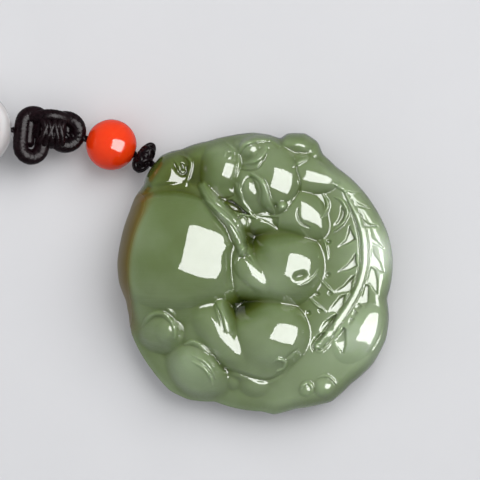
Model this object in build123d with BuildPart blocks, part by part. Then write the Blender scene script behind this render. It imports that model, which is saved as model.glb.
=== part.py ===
from build123d import *
import math
import os

os.makedirs("parts", exist_ok=True)

# A carved jade pixiu pendant on a black cord necklace, laid on its flat back, face up.
# The origin is the middle of the pendant's back. +X is the pendant's right, +Y its top.
# The carving is a height over the back: a crowned ground, hollows cut into it, and rounded
# forms raised on it. The string leaves the rim at the upper left, through a staple-shaped
# hole, and the neck loop lies flat beyond the white bead.

# Driving dimensions, in millimetres
pendant_width = 39.2
pendant_height = 40.4
pendant_thickness = 13.5
belly_height = 4.4
back_inset = 2.6
rim_round = 2.0
thread_diameter = 1.0
thread_clearance = 0.15
piece_gap = 0.15
rim_gap = 0.34
hole_depth = 4.2
hole_pitch = 2.4
small_knot_length = 2.6
small_knot_diameter = 5.0
red_bead_diameter = 7.3
white_bead_diameter = 11.6
knot_cord_diameter = 2.2
left_ring_height = 7.6
right_ring_height = 6.0
loop_knot_length = 10.4
left_ring_bend = 1.6
knot_wrap_diameter = 4.5
knot_wrap_length = 3.2
junction_length = 7.0
junction_diameter = 5.8
junction_round = 2.0
junction_end_height = 3.2
neck_cord_diameter = 2.2
neck_cord_spread = 2.5
socket_depth = 2.0

# Carving mesh: rings on the face, and rings of the rounded rim and of the turned-under edge
face_rings = 28
rim_rings = 6
under_rings = 3

# Outline of the pendant seen from the front: direction from the middle in degrees, and reach
# as a share of the half width and half height
outline_table = [
    (7, 1.015), (17, 1.015), (29, 1.00), (42, 0.985), (52, 0.97), (60, 0.99), (64, 1.05),
    (70, 1.07), (77, 1.03), (79, 0.985), (84, 1.00), (91, 1.01), (100, 1.005), (110, 1.01),
    (116, 1.03), (121, 1.04), (125, 1.07), (129, 1.09), (135, 1.075), (139, 1.06), (142, 1.035),
    (148, 1.035), (154, 1.02), (167, 1.01), (175, 1.01), (183, 0.995), (191, 0.96), (197, 0.965),
    (205, 0.995), (221, 1.01), (233, 1.03), (241, 1.01), (252, 0.945), (265, 0.96), (273, 0.97),
    (278, 1.00), (287, 0.995), (296, 1.03), (302, 1.06), (312, 1.045), (324, 1.07), (335, 1.06),
    (343, 1.025), (350, 0.98), (358, 1.00),
]

# Hollows cut between the forms: place as shares of the half width and half height, half
# length and half breadth as shares of the mean half size, turn in degrees, depth as a share
# of the thickness
hollow_table = [
    # name, across, up, half_length, half_breadth, turn, depth
    ("under_the_chin", 0.15, 0.29, 0.23, 0.065, 5, 0.07),
    ("beside_the_claw", 0.03, 0.19, 0.13, 0.06, -60, 0.07),
    ("between_the_paws", -0.03, -0.22, 0.16, 0.08, 0, 0.10),
    ("beside_the_low_claw", -0.08, -0.28, 0.10, 0.055, -58, 0.03),
]

# Rounded forms: place and size as above, top and foot as shares of the thickness, taper as
# the change of breadth along the length, blend as a share of the thickness, fall as the loss
# of height outwards, in thicknesses per half size
form_table = [
    # name, across, up, half_length, half_breadth, turn, top, foot, taper, blend, fall
    ("head_swell", 0.05, 0.64, 0.58, 0.38, -8, 0.77, 0.52, 0, 0.06, 0),
    ("haunch", -0.48, -0.31, 0.42, 0.36, -35, 0.73, 0.47, 0, 0.07, 0.44),
    ("rump", -0.67, 0.17, 0.54, 0.47, 0, 1.03, 0.71, 0, 0.03, 0),
    ("thigh", 0.08, -0.52, 0.40, 0.26, -8, 0.74, 0.49, 0, 0.07, 0),
    ("shoulder", -0.77, 0.59, 0.11, 0.09, 40, 0.65, 0.50, 0, 0.02, 0),
    ("cord_lobe", -0.68, 0.68, 0.25, 0.24, 35, 0.80, 0.56, 0, 0.015, 0),
    ("mane_root", -0.42, 0.76, 0.28, 0.11, 84, 0.72, 0.60, 0, 0.04, 0),
    ("snout", -0.26, 0.71, 0.24, 0.16, 97, 0.82, 0.60, -0.05, 0.02, 0),
    ("snout_tip", -0.24, 0.74, 0.14, 0.12, 60, 0.86, 0.73, 0, 0.06, 0),
    ("brow", 0.03, 0.86, 0.21, 0.16, 0, 0.80, 0.61, 0, 0.02, 0),
    ("far_eye", -0.04, 0.89, 0.07, 0.06, 0, 0.84, 0.77, 0, 0.01, 0),
    ("forehead", 0.11, 0.68, 0.24, 0.23, -68, 0.90, 0.67, 0, 0.015, 0),
    ("eye_bed", -0.03, 0.57, 0.17, 0.12, -66, 0.82, 0.64, 0, 0.02, 0),
    ("near_eye", -0.04, 0.58, 0.10, 0.07, -72, 0.87, 0.80, 0, 0.015, 0),
    ("chin", 0.04, 0.40, 0.19, 0.11, -22, 0.73, 0.55, 0, 0.04, 0),
    ("ear", 0.28, 0.95, 0.18, 0.11, -14, 0.76, 0.56, 0, 0.02, 0),
    ("temple", 0.35, 0.70, 0.27, 0.16, -10, 0.81, 0.61, -0.25, 0.02, 0),
    ("cheek_curl", 0.32, 0.44, 0.25, 0.20, -35, 0.81, 0.61, -0.3, 0.02, 0),
    ("lip_curl", -0.10, 0.39, 0.06, 0.055, -45, 0.78, 0.69, 0, 0.015, 0),
    ("arm", -0.02, -0.04, 0.26, 0.16, -8, 0.79, 0.57, 0, 0.10, 0),
    ("knee", 0.21, 0.06, 0.25, 0.25, 0, 0.87, 0.67, 0, 0.06, 0),
    ("claw", -0.05, 0.045, 0.22, 0.11, -46, 0.86, 0.73, 0, 0.02, 0),
    ("low_knee", 0.11, -0.41, 0.27, 0.24, 0, 0.86, 0.63, 0, 0.065, 0),
    ("low_claw", -0.25, -0.38, 0.26, 0.14, -52, 0.83, 0.64, 0, 0.065, 0),
    ("scroll", -0.71, -0.37, 0.15, 0.15, 0, 0.79, 0.62, 0, 0.015, 0.52),
    ("foot", -0.43, -0.70, 0.19, 0.15, -48, 0.78, 0.61, 0, 0.03, 0.52),
    ("toe_a", -0.17, -0.75, 0.08, 0.06, -50, 0.61, 0.52, 0, 0.03, 0.15),
    ("toe_b", 0.00, -0.78, 0.13, 0.10, -10, 0.62, 0.47, 0, 0.04, 0.29),
    ("toe_c", 0.37, -0.81, 0.07, 0.07, 0, 0.70, 0.58, 0, 0.015, 0),
    ("toe_d", 0.51, -0.79, 0.10, 0.10, 0, 0.73, 0.58, 0, 0.015, 0),
    ("hip", 0.69, -0.39, 0.27, 0.24, 62, 0.78, 0.57, 0, 0.04, 0),
]

# Raised bands: half breadth and rise as shares, and the points that the band follows
band_table = [
    # name, half_breadth, rise, points
    ("mane", 0.055, 0.14,
     [(-0.38, 0.63), (-0.31, 0.54), (-0.23, 0.45), (-0.15, 0.37), (-0.11, 0.26), (-0.09, 0.16)]),
    ("tail_spine", 0.040, 0.06,
     [(0.65, 0.59), (0.75, 0.42), (0.79, 0.31), (0.81, 0.10), (0.75, -0.08), (0.61, -0.33),
      (0.46, -0.50)]),
]

# The ground steps up under the knees and rises a little to the right, the forms' fillets
# narrow there, and the face falls towards the lower left of the rim
ground_height = 0.55 * pendant_thickness
ground_step, step_end = 0.096 * pendant_thickness, 0.41
ground_rise = 0.05 * pendant_thickness
crisp_start, crisp_run = 0.18, 0.13
edge_fall = 0.16 * pendant_thickness
fall_start, fall_across, fall_up = 0.35, -0.75, -0.55
flank_start = 0.87
half_width = pendant_width / 2
half_height = pendant_height / 2
half_mean = (half_width + half_height) / 2


def outline_reach(angle):
    """Reach of the outline in a direction, as a share of the half sizes."""
    degrees = math.degrees(angle) % 360
    rows = outline_table
    after = next((i for i, row in enumerate(rows) if row[0] > degrees), 0)
    low, high = rows[after - 1], rows[after]
    span = (high[0] - low[0]) % 360
    part = ((degrees - low[0]) % 360) / span
    return low[1] + part * (high[1] - low[1])


def oval_share(across, up, row_across, row_up, half_length, half_breadth, turn, taper=0):
    """Distance from the middle of a turned oval, 1 on its edge."""
    slope = math.radians(turn)
    dx, dy = across - row_across, up - row_up
    along = (dx * math.cos(slope) + dy * math.sin(slope)) / half_length
    aside = -dx * math.sin(slope) + dy * math.cos(slope)
    breadth = half_breadth * (1 + taper * max(-1, min(1, along)))
    return math.hypot(along, aside / breadth)


def line_distance(across, up, points):
    """Distance from a line of points."""
    nearest = math.inf
    for (x0, y0), (x1, y1) in zip(points, points[1:]):
        dx, dy = x1 - x0, y1 - y0
        part = ((across - x0) * dx + (up - y0) * dy) / (dx * dx + dy * dy)
        part = max(0, min(1, part))
        nearest = min(nearest, math.hypot(across - x0 - part * dx, up - y0 - part * dy))
    return nearest


def soft_max(low, high, blend):
    """The higher of two heights, with a small fillet where they meet."""
    overlap = max(0, blend - abs(low - high)) / blend
    return max(low, high) + overlap * overlap * blend / 4


def carved_height(across, up, share):
    """Height of the carved face over the back, at a place given in shares."""
    onward = max(0, min(1, across / step_end))
    height = ground_height + ground_step * onward ** 2 * (3 - 2 * onward) + ground_rise * max(0, across)
    crisp = 1 - 0.85 * max(0, min(1, (across - crisp_start) / crisp_run))
    steepest = flank_start / math.sqrt(1 - flank_start ** 2)
    for name, x, y, half_length, half_breadth, turn, top, foot, taper, blend, fall in form_table:
        oval = oval_share(across, up, x, y, half_length, half_breadth, turn, taper)
        swell = math.sqrt(1 - min(oval, flank_start) ** 2) - steepest * max(0, oval - flank_start)
        outward = math.hypot(x, y)
        beyond = (across * x + up * y) / outward - outward
        form = foot + (top - foot) * swell - fall * beyond
        height = soft_max(height, form * pendant_thickness, blend * crisp * pendant_thickness)
    for name, x, y, half_length, half_breadth, turn, depth in hollow_table:
        oval = oval_share(across, up, x, y, half_length, half_breadth, turn)
        height -= depth * pendant_thickness * math.exp(-oval * oval)
    for name, half_breadth, rise, points in band_table:
        offset = line_distance(across, up, points) / half_breadth
        height += rise * pendant_thickness * max(0, 1 - offset * offset)
    lean = max(0, min(1, fall_start + fall_across * across + fall_up * up))
    return height - edge_fall * lean * share ** 3


def ring_point(angle, share, height):
    """A point in a direction, at a share of the outline's reach."""
    reach = share * outline_reach(angle)
    across, up = reach * math.cos(angle), reach * math.sin(angle)
    if height is None:
        height = carved_height(across, up, share)
    return across * half_width, up * half_height, height


def carved_rings():
    """Rings of points, from the middle of the face over the rim to the edge of the back."""
    rim_start = 1 - rim_round / half_mean
    rings = []
    for k in range(face_rings + rim_rings + 1):
        turn = math.pi / 2 * max(0, k - face_rings) / rim_rings
        if k <= face_rings:
            share = rim_start * k / face_rings
        else:
            share = rim_start + (1 - rim_start) * math.sin(turn)
        count = max(1, 6 * k)
        ring = []
        for j in range(count):
            x, y, z = ring_point(2 * math.pi * j / count, share, None)
            ring.append((x, y, belly_height + (z - belly_height) * math.cos(turn)))
        rings.append(ring)
    for k in range(1, under_rings + 1):
        turn = math.pi / 2 * k / under_rings
        share = 1 - back_inset / half_mean * (1 - math.cos(turn))
        height = belly_height * (1 - math.sin(turn)) if k < under_rings else 0
        angles = [2 * math.pi * j / count for j in range(count)]
        rings.append([ring_point(angle, share, height) for angle in angles])
    return rings


def ring_triangles(inner, outer):
    """Triangles between two rings of a web, six sectors each."""
    inner_side, outer_side = len(inner) // 6, len(outer) // 6
    triangles = []
    for sector in range(6):
        for j in range(outer_side):
            a = outer[sector * outer_side + j]
            b = outer[(sector * outer_side + j + 1) % len(outer)]
            c = inner[(sector * inner_side + j) % len(inner)]
            triangles.append((a, b, c))
            if j < inner_side:
                d = inner[(sector * inner_side + j + 1) % len(inner)]
                if outer_side > inner_side and j == outer_side - 1:
                    continue
                triangles.append((c, b, d))
    return triangles


def flat_face(points):
    """A flat face through a closed line of points."""
    return Face(Wire.make_polygon([Vector(*point) for point in points], close=True))


def carved_solid():
    """The pendant without its hole, as a closed skin of flat faces."""
    rings = carved_rings()
    faces = []
    for inner, outer in zip(rings, rings[1:]):
        faces += [flat_face(points) for points in ring_triangles(inner, outer)]
    faces.append(flat_face(rings[-1]))
    return Solid(Shell(faces))


def heading_vector(heading, climb=0):
    """A unit vector from a heading in the floor plane and a climb, in degrees."""
    level = math.cos(math.radians(climb))
    turn = math.radians(heading)
    return Vector(level * math.cos(turn), level * math.sin(turn), math.sin(math.radians(climb)))


def tube(points, diameter, radii):
    """A round tube of straight runs joined by tangent arcs."""
    with BuildPart() as run:
        with BuildLine() as path:
            FilletPolyline(*points, radius=radii)
        with BuildSketch(Plane(origin=path.wire() @ 0, z_dir=path.wire() % 0)):
            Circle(diameter / 2)
        sweep(path=path.wire())
    return run.part


# String: what is on it, in order from the rim, with the gap before each piece, its heading in
# the floor plane and the height of its far end
red_bead_height = red_bead_diameter / 2
white_bead_height = white_bead_diameter / 2
string_table = [
    # name, gap_before, length, heading, end_height
    ("small_knot", rim_gap, small_knot_length, 148, red_bead_height),
    ("red_bead", piece_gap, red_bead_diameter, 160, red_bead_height),
    ("loop_knot", piece_gap, loop_knot_length, 174, white_bead_height),
    ("white_bead", 3 * piece_gap, white_bead_diameter, 182, white_bead_height),
    ("junction_knot", 4 * piece_gap, junction_length, 186, junction_end_height),
]
hole_angle = math.radians(133.5)
hole_heading = 146


def string_places():
    """The start, middle, end and direction of each piece on the string."""
    x, y, _ = ring_point(hole_angle, 1, 0)
    spot = Vector(x, y, red_bead_height)
    places = {}
    for name, gap, length, heading, end_height in string_table:
        start = spot + heading_vector(heading) * gap
        climb = math.degrees(math.asin((end_height - start.Z) / length))
        direction = heading_vector(heading, climb)
        spot = start + direction * length
        places[name] = (start, (start + spot) / 2, spot, direction)
    return places


places = string_places()


def thread_tubes(diameter, ball_diameter, past_end=0):
    """The hanging thread: a loop through the rim's hole, a ball where its legs meet in the
    small knot, and the core that runs on through the beads."""
    start, middle, end, direction = places["small_knot"]
    into_rim = heading_vector(hole_heading + 180)
    rise = Vector(0, 0, hole_pitch / 2)
    corner = middle + into_rim * small_knot_length * 0.36
    deep = start + into_rim * (rim_gap + hole_depth)
    apart = rise * 0.2
    loop_points = [middle + apart, corner + rise, deep + rise]
    loop_points += [deep - rise, corner - rise, middle - apart]
    bend = hole_pitch / 2 - 0.05
    loop = tube(loop_points, diameter, [thread_diameter, bend, bend, thread_diameter])
    names = [row[0] for row in string_table]
    joints = [(places[a][2] + places[b][0]) / 2 for a, b in zip(names, names[1:])]
    last_middle, last_direction = places["junction_knot"][1], places["junction_knot"][3]
    core_points = [middle] + joints + [last_middle + last_direction * past_end]
    core = tube(core_points, diameter, [2 * thread_diameter] * len(joints))
    with BuildPart() as tubes:
        add(loop)
        add(core)
        with Locations(middle):
            Sphere(ball_diameter / 2)
    return tubes.part


thread_ball = 1.3 * thread_diameter
thread = thread_tubes(thread_diameter, thread_ball)
thread_way = thread_tubes(thread_diameter + 2 * thread_clearance,
                          thread_ball + 2 * thread_clearance, piece_gap)


# Neck cord: its route from one strand's end in the junction knot, round the neck and back,
# as offsets from the middle of the junction knot's far end. Its first and last rows are the
# two strands, which lie beside each other.
strand = neck_cord_spread / 2
cord_drop = neck_cord_diameter / 2 - junction_end_height
neck_route = [
    (socket_depth, strand, 0),
    (-7, strand + 1.2, 0.55 * cord_drop),
    (-18, 7, cord_drop),
    (-39, 26, cord_drop),
    (-69, 52, cord_drop),
    (-107, 71, cord_drop),
    (-149, 78, cord_drop),
    (-189, 69, cord_drop),
    (-220, 42, cord_drop),
    (-233, 4, cord_drop),
    (-223, -36, cord_drop),
    (-195, -65, cord_drop),
    (-155, -79, cord_drop),
    (-113, -77, cord_drop),
    (-75, -60, cord_drop),
    (-43, -34, cord_drop),
    (-20, -10, cord_drop),
    (-7.5, -strand - 1.5, 0.55 * cord_drop),
    (socket_depth, -strand, 0),
]


def route_radii(points):
    """The largest arc that each corner of a route leaves room for."""
    radii = []
    for before, here, after in zip(points, points[1:], points[2:]):
        run_in, run_out = here - before, after - here
        turn = math.radians(run_in.get_angle(run_out))
        radii.append(0.45 * min(run_in.length, run_out.length) / math.tan(turn / 2))
    return radii


junction_end = places["junction_knot"][2]
neck_points = [junction_end + Vector(*row) for row in neck_route]
neck_radii = route_radii(neck_points)
print("neck cord radii", [round(radius, 1) for radius in neck_radii])


# The carved jade, drilled for the thread
with BuildPart() as jade_pixiu:
    add(carved_solid())
    add(thread_way, mode=Mode.SUBTRACT)
jade_pixiu.part.label = "jade_pixiu"
export_step(jade_pixiu.part, "parts/jade_pixiu.step")

# The hanging thread, one piece from the rim's hole to the junction knot
with BuildPart() as hanging_thread:
    add(thread)
hanging_thread.part.label = "hanging_thread"
export_step(hanging_thread.part, "parts/hanging_thread.step")


def string_plane(name):
    """A plane in the middle of a piece on the string, its X along the string."""
    start, middle, end, direction = places[name]
    aside = Vector(0, 0, 1).cross(direction)
    return Plane(origin=middle, x_dir=direction, z_dir=direction.cross(aside))


# Small knot between the rim and the red bead, flattened along the string
with BuildPart() as small_knot:
    plane = string_plane("small_knot")
    with BuildSketch(plane) as knot_half:
        Ellipse(small_knot_length / 2, small_knot_diameter / 2)
        with Locations((0, -small_knot_diameter / 2)):
            Rectangle(2 * small_knot_length, small_knot_diameter, mode=Mode.SUBTRACT)
    revolve(axis=Axis(plane.origin, plane.x_dir))
    add(thread_way, mode=Mode.SUBTRACT)
small_knot.part.label = "small_knot"
export_step(small_knot.part, "parts/small_knot.step")


def drilled_bead(name, diameter):
    """A round bead on the string, drilled for the thread."""
    plane = string_plane(name)
    with BuildPart() as bead:
        with BuildSketch(plane):
            Circle(diameter / 2)
            with Locations((0, -diameter / 2)):
                Rectangle(2 * diameter, diameter, mode=Mode.SUBTRACT)
            Rectangle(2 * diameter, thread_diameter + 2 * thread_clearance, mode=Mode.SUBTRACT)
        revolve(axis=Axis(plane.origin, plane.x_dir))
    bead.part.label = name
    export_step(bead.part, f"parts/{name}.step")


drilled_bead("red_bead", red_bead_diameter)
drilled_bead("white_bead", white_bead_diameter)

# Loop knot: a round ring towards the red bead, a taller ring towards the white one, and the
# whipped middle that binds them
with BuildPart() as loop_knot:
    plane = string_plane("loop_knot")
    cord_radius = knot_cord_diameter / 2
    right_radius = right_ring_height / 2 - cord_radius
    left_radius = left_ring_bend
    half_straight = left_ring_height / 2 - cord_radius - left_radius
    right_middle = right_radius + cord_radius - loop_knot_length / 2
    left_middle = loop_knot_length / 2 - cord_radius - left_radius
    with Locations(plane * Location((right_middle, 0, 0))):
        Torus(right_radius, cord_radius)
    left_plane = Plane(plane * Location((left_middle, 0, 0)))
    with BuildLine(left_plane) as left_path:
        Line((left_radius, -half_straight), (left_radius, half_straight))
        ThreePointArc((left_radius, half_straight), (0, half_straight + left_radius),
                      (-left_radius, half_straight))
        Line((-left_radius, half_straight), (-left_radius, -half_straight))
        ThreePointArc((-left_radius, -half_straight), (0, -half_straight - left_radius),
                      (left_radius, -half_straight))
    ring_start = Plane(origin=left_path.wire() @ 0, z_dir=left_path.wire() % 0)
    with BuildSketch(ring_start):
        Circle(cord_radius)
    sweep(path=left_path.wire())
    with BuildSketch(plane) as wrap_half:
        Ellipse(knot_wrap_length / 2, knot_wrap_diameter / 2)
        with Locations((0, -knot_wrap_diameter / 2)):
            Rectangle(2 * knot_wrap_length, knot_wrap_diameter, mode=Mode.SUBTRACT)
    revolve(axis=Axis(plane.origin, plane.x_dir))
    add(thread_way, mode=Mode.SUBTRACT)
loop_knot.part.label = "loop_knot"
export_step(loop_knot.part, "parts/loop_knot.step")

# Junction knot, a wrapped barrel that takes the thread at one end and both strands of the
# neck cord in sockets at the other
with BuildPart() as junction_knot:
    plane = string_plane("junction_knot")
    with BuildSketch(plane) as barrel_half:
        with Locations((0, junction_diameter / 4)):
            Rectangle(junction_length, junction_diameter / 2)
        outer_corners = barrel_half.vertices().group_by(Axis.Y)[-1]
        fillet(outer_corners, junction_round)
    revolve(axis=Axis(plane.origin, plane.x_dir))
    add(thread_way, mode=Mode.SUBTRACT)
    for inside, outside in (neck_points[:2], neck_points[:-3:-1]):
        way = outside - inside
        socket = Plane(origin=inside - way.normalized() * piece_gap, z_dir=way)
        with BuildSketch(socket):
            Circle(neck_cord_diameter / 2 + piece_gap)
        extrude(amount=2 * socket_depth, mode=Mode.SUBTRACT)
junction_knot.part.label = "junction_knot"
export_step(junction_knot.part, "parts/junction_knot.step")

# Neck cord, a whole loop laid flat
with BuildPart() as neck_cord:
    add(tube(neck_points, neck_cord_diameter, neck_radii))
neck_cord.part.label = "neck_cord"
export_step(neck_cord.part, "parts/neck_cord.step")
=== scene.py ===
import math

import bpy
import numpy as np
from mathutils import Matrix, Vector


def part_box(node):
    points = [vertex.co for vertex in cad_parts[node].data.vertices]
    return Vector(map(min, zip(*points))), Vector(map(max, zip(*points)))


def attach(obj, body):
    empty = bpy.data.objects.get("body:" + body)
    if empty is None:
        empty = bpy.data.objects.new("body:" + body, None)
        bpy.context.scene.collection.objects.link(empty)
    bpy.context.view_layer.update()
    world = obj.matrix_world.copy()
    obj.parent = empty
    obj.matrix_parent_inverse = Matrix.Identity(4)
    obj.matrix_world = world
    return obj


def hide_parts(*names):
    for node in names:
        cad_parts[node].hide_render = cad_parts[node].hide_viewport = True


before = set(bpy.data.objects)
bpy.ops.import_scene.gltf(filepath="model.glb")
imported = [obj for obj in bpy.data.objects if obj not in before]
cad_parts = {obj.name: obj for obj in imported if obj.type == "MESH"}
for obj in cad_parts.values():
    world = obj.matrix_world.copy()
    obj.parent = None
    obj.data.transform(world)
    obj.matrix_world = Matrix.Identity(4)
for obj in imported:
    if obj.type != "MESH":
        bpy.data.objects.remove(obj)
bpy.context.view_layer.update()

# Carved jade pendant
# One pebble of grey-green nephrite, carved on its face as a curled-up beast with a feathered
# tail, polished all over and left flat behind. Where it is cut deep, painted shade makes it olive and dark.
# Sizes are in millimetres until the mesh is made.
MM = 0.001
face_half_width = 19.6
face_half_height = 20.2
belly_height = 4.4
back_inset = 2.6
rim_round = 2.0
face_rings, rim_rings, under_rings, sectors = 148, 24, 5, 6
half_mean = (face_half_width + face_half_height) / 2

# The ground between the forms: it steps up to the right of the middle, and falls to the rim
# most at the lower left
ground_height, ground_step, step_end, ground_rise = 7.4, 1.3, 8, 0.035
edge_fall = 2.2
fall_start, fall_across, fall_up = 0.35, -0.75, -0.55

# Forms meet in a fillet at the left, and in a crisp line at the right and near two cuts
crisp_start, crisp_run, crisp_most = 3.5, 2.5, 0.95
crisp_table = [
    # place, x, y, reach
    ("above the claw", -0.4, 5.3, 2.2),
    ("above the low claw", -1.7, -4.4, 2.4),
]

# Outline from the front: direction from the middle in degrees, reach as a share of the half
# width and half height
outline_table = [
    (7, 1.015), (17, 1.015), (29, 1.0), (42, 0.985), (52, 0.97), (60, 0.99), (64, 1.05),
    (70, 1.07), (77, 1.03), (79, 0.985), (84, 1.0), (91, 1.01), (100, 1.005), (110, 1.01),
    (116, 1.03), (121, 1.04), (125, 1.07), (129, 1.09), (135, 1.075), (139, 1.06), (142, 1.035),
    (148, 1.035), (154, 1.02), (167, 1.01), (175, 1.01), (183, 0.995), (191, 0.96), (197, 0.965),
    (205, 0.995), (221, 1.01), (233, 1.03), (241, 1.01), (252, 0.945), (265, 0.96), (273, 0.97),
    (278, 1.0), (287, 0.995), (296, 1.03), (302, 1.06), (312, 1.045), (324, 1.07), (335, 1.06),
    (343, 1.025), (350, 0.98), (358, 1.0),
]

hollow_table = [
    # name, x, y, half_length, half_breadth, turn, depth
    ("under_the_chin", 2.9, 5.6, 4.6, 1.15, 5, 1.0),
    ("beside_the_claw", 0.6, 3.6, 2.6, 1.2, -60, 0.7),
    ("between_the_paws", -0.6, -4.4, 3.2, 1.6, 0, 1.4),
    ("beside_the_low_claw", -1.6, -5.7, 2.0, 1.1, -58, 0.4),
]

# Rounded forms: each swells to its top, drops straight from its flank on, a share of its
# reach, and is tilted down away from the middle by its fall
flank = 0.87
form_table = [
    # name, x, y, half_length, half_breadth, turn, top, rise, taper, blend, fall
    ("head_swell", 1.0, 13.0, 11.5, 7.6, -8, 10.4, 3.4, 0, 0.8, 0),
    ("haunch", -9.9, -6.4, 7.4, 6.6, -35, 9.9, 4.0, 0, 1.0, 0.3),
    ("rump", -13.2, 3.4, 10.8, 9.3, 0, 13.9, 4.3, 0, 0.4, 0),
    ("thigh", 0.2, -10.6, 6.3, 5.2, -8, 10.0, 3.4, 0, 1.0, 0),
    ("shoulder", -15.1, 12.0, 2.2, 1.8, 40, 8.8, 2.0, 0, 0.3, 0),
    ("cord_lobe", -13.9, 13.4, 5.2, 4.8, 35, 10.8, 2.6, 0, 0.2, 0),
    ("mane_root", -8.3, 15.4, 5.5, 2.2, 84, 9.7, 1.6, 0, 0.5, 0),
    ("snout", -5.1, 14.4, 4.8, 3.2, 97, 11.1, 3.0, -0.05, 0.3, 0),
    ("snout_tip", -4.7, 14.9, 2.8, 2.3, 60, 11.6, 1.8, 0, 0.8, 0),
    ("brow", 0.6, 17.4, 4.2, 3.2, 0, 10.8, 2.6, 0, 0.3, 0),
    ("far_eye", -0.7, 17.9, 1.3, 1.15, 0, 11.3, 0.9, 0, 0.15, 0),
    ("forehead", 2.2, 13.7, 4.8, 4.5, -68, 12.1, 3.0, 0, 0.2, 0),
    ("eye_bed", -0.6, 11.6, 3.4, 2.4, -66, 11.1, 2.4, 0, 0.25, 0),
    ("near_eye", -0.8, 12.0, 1.9, 1.3, -72, 11.8, 1.0, 0, 0.2, -0.22),
    ("chin", 0.7, 7.8, 3.8, 2.2, -14, 9.9, 1.3, 0, 0.3, 0),
    ("ear", 5.4, 19.2, 3.6, 2.2, -14, 10.2, 2.6, 0, 0.3, 0),
    ("temple", 6.8, 14.1, 5.4, 3.2, -10, 10.9, 2.7, -0.25, 0.25, 0),
    ("cheek_curl", 6.3, 8.8, 5.0, 3.9, -38, 10.9, 2.5, -0.3, 0.25, 0),
    ("lip_curl", -2.2, 7.8, 1.7, 1.4, -45, 10.4, 0.9, 0, 0.2, 0),
    ("arm", -0.4, -0.8, 5.2, 3.1, -8, 10.7, 3.0, 0, 1.4, 0),
    ("knee", 4.1, 1.3, 5.0, 4.9, 0, 11.8, 2.7, 0, 0.8, 0),
    ("claw", -0.9, 0.9, 4.4, 2.1, -46, 11.6, 1.7, 0, 0.2, 0),
    ("claw_toe", -1.7, 3.3, 1.1, 0.8, -35, 11.5, 0.8, 0, 0.2, 0),
    ("low_knee", 2.1, -8.3, 5.4, 4.7, 0, 11.6, 3.1, 0, 0.9, 0),
    ("low_claw", -5.5, -8.0, 5.8, 2.5, -54, 11.2, 2.4, 0, 0.9, 0),
    ("low_toe", -4.5, -6.3, 2.6, 0.9, -74, 11.3, 0.9, 0, 0.2, 0),
    ("scroll", -14.0, -7.4, 3.0, 3.0, 0, 10.7, 2.3, 0, 0.2, 0.35),
    ("scroll_middle", -13.1, -7.9, 1.6, 1.6, 0, 11.1, 1.1, 0, 0.1, 0.35),
    ("foot", -8.4, -14.1, 3.8, 3.0, -48, 10.6, 2.3, 0, 0.4, 0.35),
    ("toe_a", -3.4, -15.1, 1.5, 1.2, -50, 8.2, 1.2, 0, 0.4, 0.1),
    ("toe_b", 0.0, -15.8, 2.6, 2.0, -10, 8.4, 2.0, 0, 0.5, 0.2),
    ("toe_c", 7.3, -16.3, 1.4, 1.4, 0, 9.4, 1.6, 0, 0.2, 0),
    ("toe_d", 9.9, -16.0, 1.9, 1.9, 0, 9.8, 2.0, 0, 0.2, 0),
    ("hip", 15.5, -8.4, 4.3, 2.6, 58, 10.1, 1.0, 0, 0.2, 0.16),
    ("tear_ball", 3.8, 9.8, 0.5, 0.5, 0, 11.9, 0.6, 0, 0.05, 0),
]

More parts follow.
